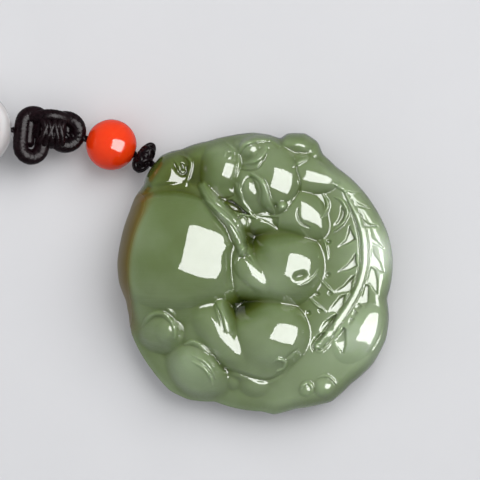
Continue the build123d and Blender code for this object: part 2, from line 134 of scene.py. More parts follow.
# Ridges and cuts that a small wheel leaves: height is above the form or, below 0, into it
cut_curve = 1.3
stroke_table = [
    # name, height, breadth to the left, breadth to the right, points with x, y and, where it
    # isn't 1, share of height
    ("mane", 1.9, 1.29, 1.0, [(-7.4, 12.7, 0.6), (-6.1, 10.9, 0.9), (-4.4, 9.1), (-3.0, 7.4), (-2.1, 5.3),
        (-1.7, 3.3, 0.6)]),
    ("hair_a", 0.35, 0.26, 0.26, [(-6.9, 10.6, 0.5), (-5.7, 9.6), (-4.4, 8.4), (-3.0, 7.0),
        (-2.1, 5.3, 0.5)]),
    ("hair_b", 0.3, 0.23, 0.23, [(-5.9, 9.7, 0.5), (-4.9, 8.6), (-3.6, 7.0), (-2.6, 5.2, 0.5)]),
    ("hair_c", -0.3, 0.23, 0.23, [(-7.0, 11.7, 0.5), (-5.9, 10.4), (-4.1, 9.0), (-2.6, 7.1),
        (-1.7, 5.0, 0.5)]),
    ("nostril", 0.3, 0.26, 0.26, [(-4.3, 17.0, 0.6), (-4.1, 17.5), (-3.6, 17.7), (-3.1, 17.3), (-3.4, 16.8),
        (-3.9, 16.7, 0.6)]),
    ("snout_side", 0.4, 0.3, 0.3, [(-4.3, 19.1, 0.4), (-3.1, 18.0), (-2.4, 16.9), (-2.3, 15.6),
        (-2.7, 13.7, 0.4)]),
    ("mouth", -0.5, 0.23, 0.23, [(-5.4, 11.1, 0.5), (-4.3, 10.9), (-3.1, 11.3, 0.6)]),
    ("jaw", 0.75, 0.72, 0.4, [(-4.9, 10.6, 0.5), (-3.6, 10.0), (-2.1, 9.3), (-0.9, 8.8, 0.9),
        (0.0, 8.2, 0.4)]),
    ("nose_side", 0.4, 0.3, 0.3, [(-2.7, 13.0, 0.6), (-2.5, 12.1), (-2.1, 11.1, 0.5)]),
    ("far_lid_above", 1.1, 0.6, 0.75, [(-2.2, 17.4, 0.4), (-1.6, 18.5, 0.8), (-0.6, 19.1), (0.6, 19.4),
        (2.0, 19.3, 0.6)]),
    ("far_lid_below", 0.7, 0.37, 1.15, [(-1.3, 15.9, 0.4), (-0.1, 16.1), (0.9, 16.8), (1.6, 17.7, 0.6)]),
    ("brow_line", -0.45, 0.23, 0.23, [(-2.0, 15.0, 0.6), (-0.9, 14.8), (0.2, 15.0), (1.1, 16.0),
        (1.7, 17.0, 0.6)]),
    ("near_lid", 0.95, 1.2, 0.37, [(-0.2, 14.3, 0.4), (0.9, 13.4), (1.5, 12.2), (1.8, 11.1), (2.2, 10.0),
        (2.7, 9.1, 0.5)]),
    ("near_lid_left", 0.4, 0.26, 0.26, [(-2.3, 12.9, 0.5), (-2.1, 11.7), (-1.6, 10.2), (-0.4, 8.8, 0.5)]),
    ("near_eye_ring", -0.35, 0.25, 0.25, [(-1.9, 12.2, 0.5), (-1.4, 13.5), (-0.6, 13.9), (0.3, 13.3),
        (0.8, 12.1), (0.8, 10.7, 0.5)]),
    ("cheek", -0.35, 0.25, 0.25, [(1.3, 9.6, 0.5), (2.1, 8.8), (3.4, 8.7), (4.4, 9.4, 0.6)]),
    ("forehead_side", -0.4, 0.3, 0.3, [(5.6, 16.4, 0.5), (6.0, 14.6), (6.4, 12.4), (5.1, 10.2),
        (4.2, 9.1, 0.5)]),
    ("tear_hollow", -0.5, 0.34, 0.34, [(2.9, 10.0), (3.1, 9.6, 0.8)]),
    ("brow_fold", 0.45, 0.36, 0.43, [(2.1, 19.1, 0.5), (2.9, 18.9), (3.5, 18.2, 0.6)]),
    ("ear_edge", 0.5, 0.31, 0.4, [(5.5, 15.4, 0.5), (6.4, 16.1), (7.6, 16.6, 0.5)]),
    ("ear_nick", 0.3, 0.26, 0.31, [(8.0, 16.9, 0.6), (8.7, 17.1), (9.1, 17.6, 0.5)]),
    ("lip_cut", -0.4, 0.23, 0.23, [(-2.6, 7.3, 0.5), (-2.4, 8.1), (-1.6, 8.4), (-1.1, 7.7),
        (-1.1, 6.9, 0.5)]),
    ("curl_cut", -0.45, 0.29, 0.29, [(6.1, 9.4, 0.5), (6.1, 8.4), (6.6, 7.4), (7.7, 6.8, 0.5)]),
    ("lobe_cut", -0.6, 0.4, 0.4, [(-11.7, 16.4, 0.4), (-11.3, 15.5), (-10.9, 14.7), (-10.3, 14.3),
        (-9.8, 14.6), (-9.7, 15.4, 0.6)]),
    ("lobe_pit", -0.6, 0.5, 0.5, [(-10.3, 14.8, 0.7), (-10.2, 15.3), (-10.4, 15.8, 0.6)]),
    ("lobe_rim", 0.4, 0.29, 0.29, [(-10.7, 17.1, 0.4), (-9.7, 16.8), (-9.1, 15.9), (-9.4, 14.3),
        (-9.9, 12.7, 0.5)]),
    ("knee_dimple", -0.6, 0.95, 0.95, [(5.9, -0.2, 0.9), (6.7, 0.0)]),
    ("knee_rim", 0.35, 0.24, 0.24, [(6.0, -1.5, 0.4), (7.3, -1.1), (8.4, -0.2), (9.0, 0.9, 0.5)]),
    ("claw_back", -0.5, 1.3, 1.0, [(-3.1, 4.4, 0.3), (-3.4, 2.8), (-3.4, 1.0), (-3.1, -1.0),
        (-2.7, -2.8, 0.4)]),
    ("rump_top", -0.8, 0.9, 1.3, [(-18.2, 9.3, 0.4), (-16.5, 11.1), (-14.3, 11.8), (-12.0, 12.0),
        (-9.8, 11.8), (-7.6, 10.9, 0.5)]),
    ("rump_foot", -0.35, 1.6, 1.6, [(-18.4, -3.0, 0.4), (-15.0, -4.5), (-11.0, -4.9), (-7.6, -4.2),
        (-4.8, -3.2, 0.4)]),
    ("toe_cut", -0.4, 0.31, 0.31, [(-1.5, 3.3, 0.5), (-0.9, 2.6), (-0.3, 1.7, 0.5)]),
    ("claw_line", 0.35, 0.23, 0.23, [(-2.6, 1.9, 0.4), (-2.1, 3.2), (-1.4, 4.0), (-0.7, 3.9, 0.5)]),
    ("low_toe_cut", -0.6, 0.34, 0.34, [(-5.6, -4.0, 0.4), (-4.9, -5.7), (-4.4, -7.9, 0.5)]),
    ("low_curl", 0.45, 0.3, 0.3, [(2.7, -12.3, 0.4), (3.3, -11.9), (4.2, -12.3), (4.1, -13.2),
        (3.1, -13.7, 0.5)]),
    ("low_crease", -0.35, 0.4, 0.4, [(6.1, -10.4, 0.4), (5.0, -11.2), (4.1, -12.0, 0.6)]),
    ("thigh_edge", -0.4, 0.5, 0.5, [(-6.1, -10.7, 0.4), (-4.6, -13.1), (-2.1, -14.0), (1.4, -15.0),
        (4.0, -14.0, 0.5)]),
    ("scroll_ring", 0.5, 0.45, 0.45, [(-16.0, -7.2, 0.4), (-15.3, -6.2), (-14.3, -5.5), (-12.9, -5.6),
        (-11.8, -6.5), (-11.3, -7.6), (-11.4, -8.9, 0.5)]),
    ("scroll_line", 0.35, 0.3, 0.26, [(-12.6, -4.7, 0.4), (-11.9, -5.1), (-11.3, -5.8, 0.5)]),
    ("crescent", 0.65, 0.5, 0.43, [(-10.0, -9.8, 0.4), (-8.9, -9.5), (-7.7, -10.0), (-6.5, -11.0, 0.5)]),
    ("foot_ridge_a", 0.4, 0.3, 0.3, [(-8.9, -12.2, 0.4), (-7.3, -13.1), (-6.3, -14.4),
        (-6.0, -15.6, 0.5)]),
    ("foot_ridge_b", 0.35, 0.28, 0.28, [(-9.0, -11.3, 0.4), (-7.3, -12.1), (-6.2, -13.3),
        (-5.6, -14.7, 0.5)]),
    ("toe_arc", 0.35, 0.23, 0.23, [(8.9, -14.6, 0.4), (9.9, -14.3), (10.8, -14.6), (11.6, -15.6, 0.5)]),
    ("toe_curl", 0.45, 0.31, 0.31, [(6.5, -16.2, 0.4), (6.8, -15.6), (7.5, -15.3), (8.1, -15.8),
        (8.1, -16.6, 0.5)]),
    ("hip_line", 0.3, 0.21, 0.21, [(18.3, -6.7, 0.4), (17.9, -8.9), (16.6, -10.9, 0.5)]),
    ("scale_arc_a", 0.4, 0.29, 0.29, [(9.6, 11.6, 0.4), (10.3, 10.3), (10.1, 9.1), (9.4, 8.1, 0.5)]),
    ("scale_arc_b", 0.45, 0.29, 0.29, [(11.3, 11.1, 0.4), (12.3, 10.6), (13.1, 9.0), (12.4, 7.4),
        (11.0, 6.2, 0.5)]),
    ("tail_root", 0.5, 0.4, 0.4, [(11.3, 12.9, 0.5), (12.1, 12.5), (12.9, 11.9, 0.6)]),
    ("tail_root_line", 0.3, 0.23, 0.23, [(13.0, 12.1, 0.6), (14.2, 11.8), (15.7, 11.9, 0.5)]),
    ("back_crease_a", 0.25, 0.23, 0.23, [(9.0, -0.3, 0.4), (10.1, -1.5), (11.1, -2.4, 0.5)]),
    ("back_crease_b", 0.25, 0.23, 0.23, [(7.6, -3.1, 0.4), (8.7, -4.2), (10.0, -5.1, 0.5)]),
    ("back_crease_c", 0.25, 0.23, 0.23, [(9.6, 5.6, 0.4), (10.1, 4.0), (10.3, 2.4, 0.5)]),
]

# Tail spine: its line with a share of its breadth, and its section from left to right, a
# valley, a crest whose top leans to the right, a fine groove and a fine second crest
spine_reach = 2
spine_line = [
    (12.7, 12.0, 0.35), (13.5, 10.6, 0.6), (14.6, 8.5, 0.85), (15.4, 6.2, 1), (15.7, 3.7, 1.05),
    (15.6, 1.2, 1.05), (14.8, -1.7, 1.05), (13.4, -4.4, 1.05), (11.9, -6.6, 1.1),
    (10.3, -8.8, 1.2), (9.1, -10.1, 1.2),
]
spine_section = [
    (-0.95, 0), (-0.72, -0.35), (-0.35, 0.62), (0.3, 0.36), (0.42, -0.12), (0.55, 0.12), (0.85, 0),
]

# Barbs and scales beside the spine, and a few flats elsewhere: each is a small tilted plane
# that sinks towards its turn, with its corners
facet_edge = 0.14
facet_table = [
    # name, fall, turn, corners
    ("barb_a", 0.32, 8, [(14.0, 10.6), (14.9, 10.1), (16.5, 9.4), (15.3, 9.5), (14.4, 9.8)]),
    ("barb_b", 0.32, 8, [(14.7, 9.3), (15.2, 8.1), (15.9, 7.4), (17.6, 6.9), (15.9, 6.8), (15.2, 6.9),
        (15.0, 7.9)]),
    ("barb_c", 0.32, 8, [(16.2, 6.1), (16.6, 5.3), (17.3, 4.9), (18.4, 3.7), (17.0, 4.4), (16.4, 4.8)]),
    ("barb_d", 0.32, 8, [(16.6, 4.0), (17.0, 2.9), (17.8, 1.8), (18.3, 0.3), (17.7, 0.5), (17.0, 1.1),
        (16.5, 1.5), (16.5, 2.9)]),
    ("barb_e", 0.32, 8, [(16.4, 1.2), (17.1, 0.7), (17.4, -0.7), (17.4, -2.7), (16.9, -2.1), (16.3, -1.2),
        (15.8, -1.1)]),
    ("barb_f", 0.32, 8, [(15.6, -1.4), (16.2, -1.5), (16.1, -3.9), (15.6, -4.7), (15.0, -3.9)]),
    ("tooth_a", 0.5, 8, [(14.7, -4.1), (15.1, -4.4), (14.6, -5.1), (14.3, -4.9)]),
    ("tooth_b", 0.6, 8, [(14.1, -5.0), (14.6, -5.3), (14.0, -6.1), (13.7, -5.9)]),
    ("tooth_c", 0.6, 8, [(13.6, -6.0), (14.1, -6.2), (13.4, -7.1), (13.1, -6.9)]),
    ("barb_g", 0.5, 8, [(12.6, -7.4), (12.9, -7.7), (12.9, -9.9), (12.6, -11.1), (12.3, -11.0),
        (11.7, -10.1), (11.2, -9.2), (11.6, -8.9)]),
    ("scale_a", 0.3, 5, [(12.3, 9.8), (12.8, 8.9), (12.6, 7.7), (11.9, 7.1), (11.1, 7.0), (11.7, 7.6),
        (12.2, 8.6)]),
    ("scale_b", 0.3, 5, [(13.4, 7.0), (14.3, 5.1), (13.1, 4.4), (11.7, 3.9), (12.9, 4.9), (13.3, 6.0)]),
    ("scale_c", 0.3, 5, [(14.3, 3.1), (14.5, 1.3), (13.4, 0.7), (11.7, 0.4), (13.1, 1.4), (13.8, 2.3)]),
    ("scale_d", 0.3, 5, [(14.1, 0.0), (13.6, -2.4), (12.0, -2.6), (11.3, -2.4), (12.6, -1.6),
        (13.3, -0.8)]),
    ("scale_e", 0.3, 5, [(12.9, -2.7), (12.5, -4.3), (11.6, -5.4), (10.4, -5.2), (11.2, -4.2),
        (12.0, -3.2)]),
    ("scale_f", 0.3, 5, [(11.6, -5.5), (10.9, -7.8), (9.1, -7.9), (10.0, -6.6)]),
    ("scale_g", 0.3, 5, [(10.1, -8.1), (9.1, -9.6), (8.1, -9.4), (9.0, -8.4)]),
    ("cheek_flat", 0.3, 5, [(9.4, 9.8), (10.0, 9.4), (9.7, 8.8)]),
    ("chin_flat", 0.12, 5, [(0.0, 8.4), (1.7, 8.3), (3.3, 8.2), (3.3, 6.6), (1.7, 7.6)]),
    ("jaw_flat", 0.55, 5, [(-5.1, 10.7), (-3.3, 10.7), (-0.7, 8.6), (-2.4, 8.9), (-4.1, 9.7)]),
]

# Small round dimples left by a drill's tip
nick_depth = 0.3
nick_table = [
    # x, y, radius
    (10.4, 0.0, 0.46), (8.9, -2.7, 0.37), (7.6, -5.4, 0.43), (10.7, -2.6, 0.31), (9.3, -5.0, 0.31),
    (10.5, 4.7, 0.37), (-15.0, 12.5, 0.29),
]


def outline_reach(angle):
    """Reach of the outline in each direction, as a share of the half sizes."""
    degrees, reach = np.array(outline_table).T
    around = np.arange(0, 360, 0.5)
    even = np.interp(around, degrees, reach, period=360)
    blur = 4
    spread = np.exp(-np.linspace(-2, 2, 2 * blur + 1) ** 2)
    padded = np.concatenate([even[-blur:], even, even[:blur]])
    smooth = np.convolve(padded, spread / spread.sum(), "valid")
    return np.interp(np.degrees(angle) % 360, around, smooth, period=360)


def oval_share(x, y, middle_x, middle_y, half_length, half_breadth, turn, taper=0):
    """Distance from the middle of a turned oval, 1 on its edge."""
    slope = math.radians(turn)
    along = ((x - middle_x) * math.cos(slope) + (y - middle_y) * math.sin(slope)) / half_length
    aside = (y - middle_y) * math.cos(slope) - (x - middle_x) * math.sin(slope)
    breadth = half_breadth * (1 + taper * np.clip(along, -1, 1))
    return np.hypot(along, aside / breadth)


def soft_max(low, high, blend):
    """The higher of two heights, with a small fillet where they meet."""
    overlap = np.clip(blend - np.abs(low - high), 0, None) / blend
    return np.maximum(low, high) + overlap * overlap * blend / 4


def smooth_line(points, steps=8):
    """A smooth curve through a few points, with their last column carried along."""
    held = np.array([points[0], *points, points[-1]], float)
    line = []
    for a, b, c, d in zip(held, held[1:], held[2:], held[3:]):
        for t in np.arange(steps) / steps:
            line.append((2 * b + (c - a) * t + (2 * a - 5 * b + 4 * c - d) * t * t
                         + (3 * b - a - 3 * c + d) * t ** 3) / 2)
    return np.array(line + [held[-1]])


def beside_edge(x, y, x0, y0, dx, dy):
    """Each place's share of the way along an edge, and its offset from it in x and y."""
    part = np.clip(((x - x0) * dx + (y - y0) * dy) / (dx * dx + dy * dy + 1e-12), 0, 1)
    return part, x - x0 - part * dx, y - y0 - part * dy


def line_offset(x, y, line, reach):
    """Which places lie near a line, their offset from it, right of it positive, and the value
    that the line carries there."""
    near = (x > line[:, 0].min() - reach) & (x < line[:, 0].max() + reach)
    near &= (y > line[:, 1].min() - reach) & (y < line[:, 1].max() + reach)
    px, py = x[near], y[near]
    nearest, offset, carried = np.full(px.shape, 1e9), np.zeros(px.shape), np.ones(px.shape)
    for (x0, y0, c0), (x1, y1, c1) in zip(line, line[1:]):
        dx, dy = x1 - x0, y1 - y0
        part, ex, ey = beside_edge(px, py, x0, y0, dx, dy)
        gap = np.hypot(ex, ey)
        closer = gap < nearest
        nearest[closer] = gap[closer]
        offset[closer] = (gap * np.where(ey * dx - ex * dy > 0, 1, -1))[closer]
        carried[closer] = (c0 + part * (c1 - c0))[closer]
    return near, offset, carried


def corner_depth(x, y, corners):
    """How far inside a cornered outline each place lies, below 0 outside."""
    inside, nearest = np.zeros(x.shape, bool), np.full(x.shape, 1e9)
    for (x0, y0), (x1, y1) in zip(corners, corners[1:] + corners[:1]):
        dx, dy = x1 - x0, y1 - y0
        nearest = np.minimum(nearest, np.hypot(*beside_edge(x, y, x0, y0, dx, dy)[1:]))
        if dy:
            inside ^= ((y0 > y) != (y1 > y)) & (x < dx * (y - y0) / dy + x0)
    return np.where(inside, nearest, -nearest)


def carved_height(x, y, share):
    """Height of the carved face over the back."""
    onward = np.clip(x / step_end, 0, 1)
    height = ground_height + ground_step * onward ** 2 * (3 - 2 * onward)
    height += ground_rise * np.clip(x, 0, None)
    crisp = np.clip((x - crisp_start) / crisp_run, 0, 1)
    for place, px, py, reach in crisp_table:
        crisp = np.maximum(crisp, np.exp(-(((x - px) ** 2 + (y - py) ** 2) / reach ** 2) ** 2))
    for name, mx, my, half_length, half_breadth, turn, top, rise, taper, blend, fall in form_table:
        oval = oval_share(x, y, mx, my, half_length, half_breadth, turn, taper)
        swell = np.sqrt(1 - np.minimum(oval, flank) ** 2)
        swell -= flank / math.sqrt(1 - flank ** 2) * np.clip(oval - flank, 0, None)
        outward = math.hypot(mx, my)
        beyond = (x * mx + y * my) / outward - outward
        height = soft_max(height, top - rise + rise * swell - fall * beyond,
                          blend * (1 - crisp_most * crisp))
    for name, mx, my, half_length, half_breadth, turn, depth in hollow_table:
        height -= depth * np.exp(-oval_share(x, y, mx, my, half_length, half_breadth, turn) ** 2)
    lean = np.clip(fall_start + fall_across * x / face_half_width + fall_up * y / face_half_height, 0, 1)
    height -= edge_fall * lean * share ** 3
    for name, rise, left, right, points in stroke_table:
        line = smooth_line([(*point, 1)[:3] for point in points])
        near, offset, size = line_offset(x, y, line, left + right)
        part = np.abs(offset) / (np.where(offset < 0, left, right) * np.maximum(size, 0.05))
        profile = np.clip(1 - part ** 2, 0, 1) if rise > 0 else np.clip(1 - part, 0, 1) ** cut_curve
        height[near] += rise * size * profile
    near, offset, size = line_offset(x, y, smooth_line(spine_line), spine_reach)
    across, section = np.array(spine_section).T
    height[near] += size * np.interp(offset / size, across, section)
    for name, fall, turn, corners in facet_table:
        depth = corner_depth(x, y, corners)
        slope = math.radians(turn)
        start = min(cx * math.cos(slope) + cy * math.sin(slope) for cx, cy in corners)
        run = x * math.cos(slope) + y * math.sin(slope) - start
        height -= np.clip(0.5 + depth / facet_edge, 0, 1) * fall * np.clip(run, 0, None)
    for nx, ny, radius in nick_table:
        height -= nick_depth * np.clip(1 - ((x - nx) ** 2 + (y - ny) ** 2) / radius ** 2, 0, 1)
    return height


def face_places(angle, share):
    """Places on the face in a direction, at a share of the outline's reach."""
    reach = share * outline_reach(angle)
    return reach * np.cos(angle) * face_half_width, reach * np.sin(angle) * face_half_height


def whole_turn(count):
    """Angles at even steps once round."""
    return 2 * math.pi * np.arange(count) / count


def carved_rings():
    """Rings of points from the middle of the face over the rim to the edge of the back, and
    the number of points in each."""
    rim_start = 1 - rim_round / half_mean
    angles, shares, turns, sizes = [], [], [], []
    for k in range(face_rings + rim_rings + 1):
        count = max(1, sectors * k)
        turn = math.pi / 2 * max(0, k - face_rings) / rim_rings
        share = rim_start * k / face_rings if k <= face_rings else (
            rim_start + (1 - rim_start) * math.sin(turn))
        angles.append(whole_turn(count))
        shares.append(np.full(count, share))
        turns.append(np.full(count, turn))
        sizes.append(count)
    angle, share, turn = map(np.concatenate, (angles, shares, turns))
    x, y = face_places(angle, share)
    z = belly_height + (carved_height(x, y, share) - belly_height) * np.cos(turn)
    points = [np.column_stack([x, y, z])]
    for k in range(1, under_rings + 1):
        turn = math.pi / 2 * k / under_rings
        under = np.full(count, 1 - back_inset / half_mean * (1 - math.cos(turn)))
        x, y = face_places(angles[-1], under)
        points.append(np.column_stack([x, y, np.full(count, belly_height * (1 - math.sin(turn)))]))
        sizes.append(count)
    return np.vstack(points), sizes


def ring_faces(sizes):
    """Triangles of the web of rings, sector by sector, and the flat back."""
    starts = np.concatenate([[0], np.cumsum(sizes)])
    faces = []
    for k in range(1, len(sizes)):
        inner, outer, near, far = sizes[k - 1], sizes[k], starts[k - 1], starts[k]
        inner_side, outer_side = inner // sectors, outer // sectors
        for j in range(outer):
            sector, step = divmod(j, outer_side)
            a, b = far + j, far + (j + 1) % outer
            c = near + (sector * inner_side + step) % inner
            faces.append((a, b, c))
            if step < inner_side and not (outer_side > inner_side and step == outer_side - 1):
                faces.append((c, b, near + (sector * inner_side + step + 1) % inner))
    faces.append(tuple(range(starts[-1] - 1, starts[-2] - 1, -1)))
    return faces


def blurred(grid, cells):
    """A grid of heights, smoothed over a number of cells each way."""
    reach = np.arange(-3 * cells, 3 * cells + 1)
    spread = np.exp(-(reach / cells) ** 2 / 2)
    spread /= spread.sum()
    for axis in (0, 1):
        grid = np.apply_along_axis(lambda row: np.convolve(
            np.pad(row, 3 * cells, mode="edge"), spread, "valid"), axis, grid)
    return grid


def hollow_depths(points, widths):
    """How far each point lies below its surroundings, smoothed over each width."""
    reach, step = 22, 0.2
    side = np.arange(-reach, reach, step)
    gx, gy = np.meshgrid(side, side)
    angle = np.arctan2(gy / face_half_height, gx / face_half_width)
    share = np.hypot(gx / face_half_width, gy / face_half_height) / outline_reach(angle)
    grid = np.where(share < 1, carved_height(gx, gy, np.minimum(share, 1)), belly_height / 2)
    depths = []
    for width in widths:
        smooth = blurred(grid, round(width / step))
        column, row = (((points[:, axis] + reach) / step).astype(int) for axis in (0, 1))
        depths.append(smooth[row, column] - points[:, 2])
    return depths


def mesh_piece(name, points, faces, finish, values=None):
    """A smooth-shaded piece in metres with its finish, and named values on its points."""
    mesh = bpy.data.meshes.new(name)
    corners = [tuple(map(int, face)) for face in faces]
    mesh.from_pydata([tuple(point) for point in points], [], corners)
    mesh.validate()
    mesh.polygons.foreach_set("use_smooth", [True] * len(mesh.polygons))
    mesh.materials.append(finish)
    for key, column in (values or {}).items():
        mesh.attributes.new(key, "FLOAT", "POINT").data.foreach_set("value", np.asarray(column, float))
    piece = bpy.data.objects.new(name, mesh)
    bpy.context.scene.collection.objects.link(piece)
    return piece


class Value:
    """An output of one of a material's nodes. Sums on it are written as plain arithmetic, and
    any other node is added by its one method."""

    def __init__(self, tree, socket):
        self.tree, self.socket = tree, socket

    def node(self, kind, settings, sockets, output=0):
        """Adds a node, sets its settings and then its sockets, and returns one output."""
        made = self.tree.nodes.new("ShaderNode" + kind)
        for key, setting in settings.items():
            if key == "stops":
                ramp = made.color_ramp
                while len(ramp.elements) < len(setting):
                    ramp.elements.new(1)
                for element, (place, color) in zip(ramp.elements, setting):
                    element.position, element.color = place, (*color, 1)
            else:
                setattr(made, key, setting)
        for key, value in sockets.items():
            if isinstance(value, Value):
                self.tree.links.new(value.socket, made.inputs[key])
            else:
                made.inputs[key].default_value = value
        return Value(self.tree, made.outputs[output])

    def sum(self, operation, first, second):
        return self.node("Math", {"operation": operation}, {0: first, 1: second})

    def __add__(self, other):
        return self.sum("ADD", self, other)

    def __sub__(self, other):
        return self.sum("SUBTRACT", self, other)

    def __rsub__(self, other):
        return self.sum("SUBTRACT", other, self)

    def __mul__(self, other):
        return self.sum("MULTIPLY", self, other)

    __radd__ = __add__
    __rmul__ = __mul__

    def step(self, low, high):
        """0 below the low value, 1 above the high one, smooth between."""
        return self.node("MapRange", {"interpolation_type": "SMOOTHSTEP"},
                         {"Value": self, "From Min": low, "From Max": high})

    def mix(self, first, second):
        """The first colour where this is 0, the second where it is 1."""
        colors = [(*color, 1) if isinstance(color, tuple) else color for color in (first, second)]
        return self.node("Mix", {"data_type": "RGBA"}, {0: self, 6: colors[0], 7: colors[1]}, 2)

    def noise(self, scale, detail):
        """Smooth noise over the place that this holds, in metres."""
        return self.node("TexNoise", {}, {"Vector": self, "Scale": scale, "Detail": detail})

    def stored(self, name):
        """A value stored on the piece's points."""
        return self.node("Attribute", {"attribute_name": name}, {}, "Fac")


def start_finish(name):
    """A bare material, and the place on the surface in metres."""
    material = bpy.data.materials.new(name)
    material.use_nodes = True
    tree = material.node_tree
    tree.nodes.clear()
    return material, Value(tree, tree.nodes.new("ShaderNodeTexCoord").outputs["Object"])


def end_finish(place, sockets, bump, bump_height):
    """The surface shader with its sockets, and a bump of a height in metres."""
    sockets["Normal"] = place.node("Bump", {}, {"Height": bump, "Distance": bump_height})
    surface = place.node("BsdfPrincipled", {}, sockets)
    output = place.tree.nodes.new("ShaderNodeOutputMaterial")
    place.tree.links.new(surface.socket, output.inputs["Surface"])


def end_stone(place, body, roughness, index, glow, glow_radii, glow_scale, bump, bump_height):
    """The surface of a polished stone that lets some light through."""
    end_finish(place, {
        "Base Color": body, "Roughness": roughness, "IOR": index, "Subsurface Weight": glow,
        "Subsurface Radius": glow_radii, "Subsurface Scale": glow_scale,
    }, bump, bump_height)


def jade_finish():
    """Polished translucent stone: sage green, made paler on the forms and to the right by painted
    light, deep olive in the hollows by painted shade, and yellow at the thin left rim."""
    material, place = start_finish("polished_jade")
    cloud = place.noise(150, 3.0)
    # The stored tone carries painted light and painted shade; the noise adds the stone's own clouds
    tone = place.stored("tone") + (cloud - 0.5) * 0.25
    body = tone.node("ValToRGB", {"stops": jade_tones}, {"Fac": tone})
    rim = place.stored("rim").step(0.0, 0.7)
    body = (rim * 0.95).mix(body, (0.135, 0.088, 0.001))
    ripple = place.noise(420, 2.0)
    end_stone(place, body, 0.04 + rim * 0.3, 1.54, 0.5, (0.9, 1.2, 0.6), 0.0018, ripple, 0.00002)
    return material


# Colours of the stone from its deepest tone, the painted shade of deep hollows, to its palest,
# the painted light towards the right
jade_tones = [
    (0.0, (0.018, 0.030, 0.001)), (0.25, (0.078, 0.104, 0.016)), (0.45, (0.128, 0.177, 0.064)),
    (0.6, (0.195, 0.252, 0.130)), (0.8, (0.31, 0.39, 0.24)), (1.0, (0.54, 0.62, 0.49)),
]

# Broad patches that shift the tone: the pale ones on the right half (right rim, hip, lower right, upper
# right, scales) are painted light coming through from the right, the dark one between the paws is painted
# shade, and the rest only shift the tone at their places
tone_and_light_patches = [
    # place, x, y, reach, tone
    ("beside the cord hole", -12.8, 14.8, 4.5, -0.30),
    ("mane root", -8.2, 15.4, 2.5, -0.18),
    ("left flank", -14.0, 2.0, 7.0, -0.05),
    ("face", 0.0, 13.0, 6.0, 0.03),
    ("right rim", 18.5, 3.0, 4.5, 0.50),
    ("hip", 15.5, -8.5, 5.0, 0.32),
    ("lower right", 7.0, -13.0, 6.0, 0.16),
    ("lower left", -8.0, -13.0, 6.0, 0.10),
    ("upper right", 12.5, 12.0, 5.0, 0.14),
    ("scales", 9.5, 1.0, 4.0, 0.08),
    ("arm", 1.2, -1.2, 3.4, 0.16),
    ("between the paws", -1.5, -4.4, 2.2, -0.14),
]
# Tone of the flat ground, painted light on the swelling forms, painted shade in broad hollows and fine
# creases, where the hollows begin, and the widths over which hollows and creases are measured
plain_tone = 0.50
swell_light, hollow_shade, crease_shade = 0.06, 0.22, 0.12
hollow_start = 0.4
broad_width, fine_width = 2.0, 0.5
yellow_start, yellow_run = 0.88, 0.08


def tone_with_painted_light(points):
    """Tone of the stone with painted light and shade: paler on the forms by painted light, deeper
    in hollows and creases by painted shade, and shifted by the broad patches.
    """
    hollow, crease = hollow_depths(points, (broad_width, fine_width))
    # Painted light on the swelling forms, painted shade in broad hollows and fine creases
    tone = plain_tone - swell_light * np.clip(hollow, -1.5, hollow_start)
    tone -= hollow_shade * np.clip(hollow - hollow_start, 0, 2.0)
    tone -= crease_shade * np.clip(crease, -0.5, 0.8)
    # Patches of painted light on the right half and of painted shade between the paws
    for place, x, y, reach, amount in tone_and_light_patches:
        tone += amount * np.exp(-((points[:, 0] - x) ** 2 + (points[:, 1] - y) ** 2) / reach ** 2)
    return tone


def rim_yellow(points):
    """Yellow at the thin left rim, which fades towards the top and the lower left."""
    x, y, _ = points.T
    share = np.hypot(x / face_half_width, y / face_half_height)
    left = np.interp(x, (-15.6, -3.6), (1, 0))
    lengthways = np.interp(y, (-9.6, -3.6, 8.8, 12.8), (0, 1, 1, 0))
    return (share - yellow_start) / yellow_run * left * lengthways


jade_points, jade_sizes = carved_rings()
jade = mesh_piece("jade_carving", jade_points * MM, ring_faces(jade_sizes), jade_finish(),
                  {"tone": tone_with_painted_light(jade_points), "rim": rim_yellow(jade_points)})
jade.data.polygons[-1].use_smooth = False
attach(jade, "root")
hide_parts("jade_pixiu")

# Hanging thread
# A doubled waxed thread, looped through the stone's rim hole and run through every piece on
# the string. It shows only in the small gaps between them.
thread_radius = 0.5 * MM
ply_radius = 0.27 * MM
ply_pitch, ply_step = 1.6 * MM, 0.12 * MM
# Rounded end of a strand, in radii: height of its tip, height and breadth of the ring below
tip_height, collar_height, collar_breadth = 0.6, 0.4, 0.75
string_table = [
    # node, heading in the floor plane and climb, in degrees, length in millimetres
    ("small_knot", 148, 0, 2.6),
    ("red_bead", 160, 0, 7.3),
    ("loop_knot", 174, 11.9, 10.4),
    ("white_bead", 182, 0, 11.6),
    ("junction_knot", 186, -21.8, 7.0),
]


def string_frame(node):
    """The middle of a piece on the string, and its directions along, aside and up."""
    heading, climb, length = next(row[1:] for row in string_table if row[0] == node)
    turn, rise = math.radians(heading), math.radians(climb)
    low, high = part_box(node)
    along = Vector((math.cos(rise) * math.cos(turn), math.cos(rise) * math.sin(turn), math.sin(rise)))
    aside = along.cross(Vector((0, 0, 1))).normalized()
    up = aside.cross(along)
    return (Vector(low) + Vector(high)) / 2, along, aside, up, length * MM


def on_string(node, points):
    """Places given along, aside and up from the middle of a piece on the string, in metres."""
    middle, *axes, _ = string_frame(node)
    return np.array(middle) + np.asarray(points, float) @ np.array(axes)


def band_faces(rings, sides, closed):
    """Four-sided faces between rings of points, also from the last to the first if closed."""
    faces = []
    for i in range(rings if closed else rings - 1):
        here, there = i * sides, (i + 1) % rings * sides
        for j in range(sides):
            k = (j + 1) % sides
            faces.append((here + j, there + j, there + k, here + k))
    return faces


def run_along(line):
    """Length of a line up to each of its points."""
    return np.concatenate([[0], np.cumsum(np.linalg.norm(np.diff(line, axis=0), axis=1))])


